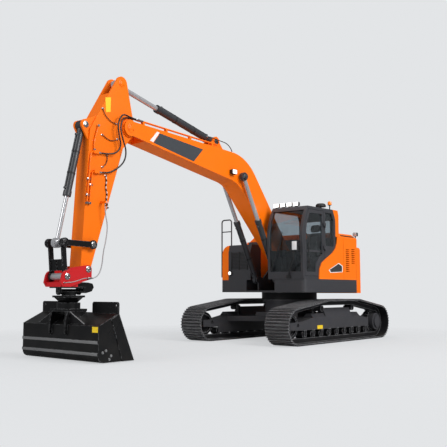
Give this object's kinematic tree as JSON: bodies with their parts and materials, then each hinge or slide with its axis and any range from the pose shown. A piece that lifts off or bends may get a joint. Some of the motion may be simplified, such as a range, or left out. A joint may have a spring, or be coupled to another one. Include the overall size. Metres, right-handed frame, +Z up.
{
  "type": "crawler excavator",
  "caption": "Crawler excavator with swinging house and cab, boom, arm, quick coupler and a wide ditch bucket on a tilting, turning hitch.",
  "frame": {"origin": "on the ground under the house's swing axis, midway between the tracks", "axes": "+X forward along the boom, +Y to the cab's side (left), +Z up"},
  "size_m": [9.103, 2.99, 5.055],
  "materials": {
    "orange_paint": "gloss paint",
    "dark_paint": "satin paint",
    "red_paint": "gloss paint",
    "cylinder_paint": "satin paint",
    "rod_chrome": "polished",
    "track_steel": "as cast, painted",
    "tool_paint": "satin paint",
    "cab_glass": "clear",
    "black_plastic": "grained",
    "seat_fabric": "woven",
    "hose_rubber": "satin"
  },
  "bodies": {
    "undercarriage": {"car_body": "dark_paint", "swing_ring": "track_steel", "track_frames": "dark_paint", "track_left": "track_steel", "track_right": "track_steel", "idlers": "track_steel", "sprockets": "track_steel", "final_drives": "dark_paint", "bottom_rollers": "track_steel", "carrier_rollers": "track_steel"},
    "house": {"upper_frame": "dark_paint", "left_deck": "dark_paint", "right_deck": "dark_paint", "counterweight": "orange_paint", "engine": "dark_paint", "bulkhead": "dark_paint", "fuel_tank": "orange_paint", "tool_box": "dark_paint", "cab_shell": "dark_paint", "cab_glass": "cab_glass", "left_side_cover": "orange_paint", "cab_seat": "seat_fabric", "cab_controls": "black_plastic", "right_corner_cover": "orange_paint", "work_lamps": "black_plastic", "roof_fittings": "black_plastic", "mirrors": "black_plastic", "handrail": "dark_paint"},
    "cab_door": {"cab_door": "dark_paint", "door_glass": "cab_glass"},
    "engine_hood": {"engine_hood": "orange_paint"},
    "left_bay_door": {"left_bay_door": "orange_paint"},
    "right_bay_door": {"right_bay_door": "orange_paint"},
    "boom": {"boom": "orange_paint", "boom_lamp": "black_plastic", "boom_pipes": "orange_paint", "arm_hose_upper": "hose_rubber", "arm_hose_lower": "hose_rubber"},
    "boom_barrels": {"boom_cylinder_barrels": "cylinder_paint"},
    "boom_rods": {"boom_cylinder_rods": "rod_chrome"},
    "arm": {"arm": "orange_paint", "coupler_hose": "hose_rubber"},
    "arm_barrel": {"arm_cylinder_barrel": "cylinder_paint"},
    "arm_rod": {"arm_cylinder_rod": "rod_chrome"},
    "bucket_barrel": {"bucket_cylinder_barrel": "cylinder_paint"},
    "bucket_rod": {"bucket_cylinder_rod": "rod_chrome"},
    "rockers": {"rocker_links": "tool_paint"},
    "h_link": {"h_link": "tool_paint"},
    "coupler": {"quick_coupler": "red_paint", "tilt_bracket": "tool_paint"},
    "rotor_housing": {"rotor_housing": "tool_paint"},
    "tool": {"turning_hitch": "tool_paint", "ditch_bucket": "tool_paint"}
  },
  "joints": [
    {"name": "swing", "type": "hinge", "parent": "undercarriage", "child": "house", "pos_m": [0, 0, 1.11], "axis": [0, 0, 1], "continuous": true},
    {"name": "boom_lift", "type": "hinge", "parent": "house", "child": "boom", "pos_m": [0.2, 0, 1.72], "axis": [0, -1, 0], "range_deg": [-66, 38]},
    {"name": "boom_barrel_turn", "type": "hinge", "parent": "house", "child": "boom_barrels", "pos_m": [0.92, 0, 1.4], "axis": [0, -1, 0], "range_deg": [-73.76, 42.68]},
    {"name": "boom_rod_slide", "type": "slide", "parent": "boom_barrels", "child": "boom_rods", "axis": [0.4846, 0, 0.8747], "range_m": [-0.661, 0.381]},
    {"name": "arm_swing", "type": "hinge", "parent": "boom", "child": "arm", "pos_m": [5.37, 0, 4.12], "axis": [0, 1, 0], "range_deg": [-55, 45]},
    {"name": "arm_barrel_turn", "type": "hinge", "parent": "boom", "child": "arm_barrel", "pos_m": [2.85, 0, 4.31], "axis": [0, 1, 0], "range_deg": [-6, 5]},
    {"name": "arm_rod_slide", "type": "slide", "parent": "arm_barrel", "child": "arm_rod", "axis": [0.9746, 0, 0.2238], "range_m": [-0.67475, 0.55225]},
    {"name": "tool_curl", "type": "hinge", "parent": "arm", "child": "coupler", "pos_m": [6.31, 0, 1.5], "axis": [0, 1, 0], "range_deg": [-68, 100]},
    {"name": "rocker_turn", "type": "hinge", "parent": "arm", "child": "rockers", "pos_m": [6.203, 0, 1.924], "axis": [0, 1, 0], "range_deg": [-39.26, 57.5]},
    {"name": "h_link_turn", "type": "hinge", "parent": "coupler", "child": "h_link", "pos_m": [6.742, 0, 1.373], "axis": [0, 1, 0], "range_deg": [-66.5, 45.38]},
    {"name": "bucket_barrel_turn", "type": "hinge", "parent": "arm", "child": "bucket_barrel", "pos_m": [6.33, 0, 4.02], "axis": [0, 1, 0], "range_deg": [-3.9, 5.5]},
    {"name": "bucket_rod_slide", "type": "slide", "parent": "bucket_barrel", "child": "bucket_rod", "axis": [0.2177, 0, -0.976], "range_m": [-0.3614, 0.531]},
    {"name": "tilt", "type": "hinge", "parent": "coupler", "child": "rotor_housing", "pos_m": [6.525, 0, 1.125], "axis": [1, 0, 0], "range_deg": [-25, 25]},
    {"name": "rotor_turn", "type": "hinge", "parent": "rotor_housing", "child": "tool", "pos_m": [6.525, 0, 0.942], "axis": [0, 0, 1], "continuous": true},
    {"name": "cab_door_swing", "type": "hinge", "parent": "house", "child": "cab_door", "pos_m": [0.522, 1.352, 2.2], "axis": [0, 0, 1], "range_deg": [0, 165]},
    {"name": "hood_lift", "type": "hinge", "parent": "house", "child": "engine_hood", "pos_m": [-0.13, 0, 2.5], "axis": [0, 1, 0], "range_deg": [0, 55]},
    {"name": "left_bay_swing", "type": "hinge", "parent": "house", "child": "left_bay_door", "pos_m": [-0.872, 1.345, 1.9], "axis": [0, 0, 1], "range_deg": [0, 100]},
    {"name": "right_bay_swing", "type": "hinge", "parent": "house", "child": "right_bay_door", "pos_m": [-0.872, -1.345, 1.9], "axis": [0, 0, -1], "range_deg": [0, 100]}
  ],
  "couplings": [
    {"joint": "boom_barrel_turn", "follows": "boom_lift", "ratio": 1.11},
    {"joint": "boom_rod_slide", "follows": "boom_lift", "m_per_rad": 0.57296},
    {"joint": "arm_barrel_turn", "follows": "arm_swing", "ratio": 0.1},
    {"joint": "arm_rod_slide", "follows": "arm_swing", "m_per_rad": 0.70187},
    {"joint": "rocker_turn", "follows": "tool_curl", "ratio": 0.57},
    {"joint": "h_link_turn", "follows": "tool_curl", "ratio": -0.66},
    {"joint": "bucket_barrel_turn", "follows": "tool_curl", "ratio": 0.05},
    {"joint": "bucket_rod_slide", "follows": "tool_curl", "m_per_rad": 0.30367}
  ]
}
